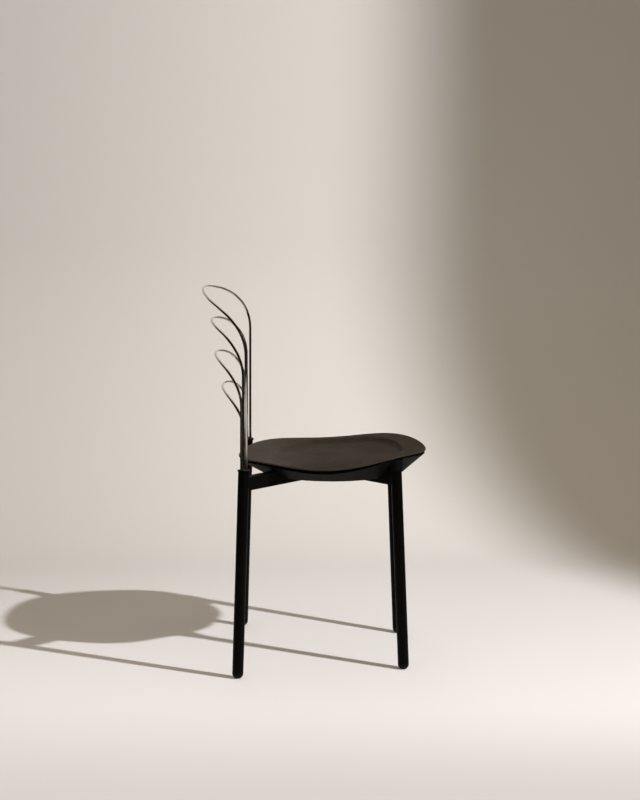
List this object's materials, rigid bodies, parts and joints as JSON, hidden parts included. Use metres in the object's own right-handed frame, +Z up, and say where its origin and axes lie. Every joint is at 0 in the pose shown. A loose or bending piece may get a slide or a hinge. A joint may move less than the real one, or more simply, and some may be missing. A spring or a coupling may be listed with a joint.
{
  "type": "dining chair",
  "caption": "Dining chair with a round dished seat on a crossed-bar frame, leaning tube legs and a back of nested wire hoops that bend backwards.",
  "frame": {"origin": "on the floor, under the middle of the overall box", "axes": "+X to the front of the seat, +Y to the sitter's left, +Z up"},
  "size_m": [0.5122, 0.5152, 0.8513],
  "materials": {
    "seat_top": "dark brown-grey satin with a fine grain",
    "seat_skirt": "dark brown-grey satin",
    "bar_paint": "black powder coat",
    "leg_paint": "black satin powder coat",
    "glide_plastic": "black moulded plastic",
    "cap_plastic": "black moulded plastic",
    "pad_plastic": "black rubber",
    "hoop_chrome": "polished chrome plate",
    "plate_steel": "black powder coat",
    "screw_steel": "zinc plated"
  },
  "bodies": {
    "root": {"seat_shell": "seat_top", "seat_skirt": "seat_skirt", "through_bar": "bar_paint", "rear_half_bar": "bar_paint", "front_half_bar": "bar_paint", "rear_leg_left": "leg_paint", "rear_leg_right": "leg_paint", "front_leg_left": "leg_paint", "front_leg_right": "leg_paint", "rear_glide_left": "glide_plastic", "rear_glide_right": "glide_plastic", "front_glide_left": "glide_plastic", "front_glide_right": "glide_plastic", "rear_cap_left": "cap_plastic", "rear_cap_right": "cap_plastic", "front_pad_left": "pad_plastic", "front_pad_right": "pad_plastic", "back_hoop_tallest": "hoop_chrome", "back_hoop_second": "hoop_chrome", "back_hoop_third": "hoop_chrome", "back_hoop_shortest": "hoop_chrome", "mount_plate": "plate_steel", "seat_screws": "screw_steel"}
  },
  "joints": []
}
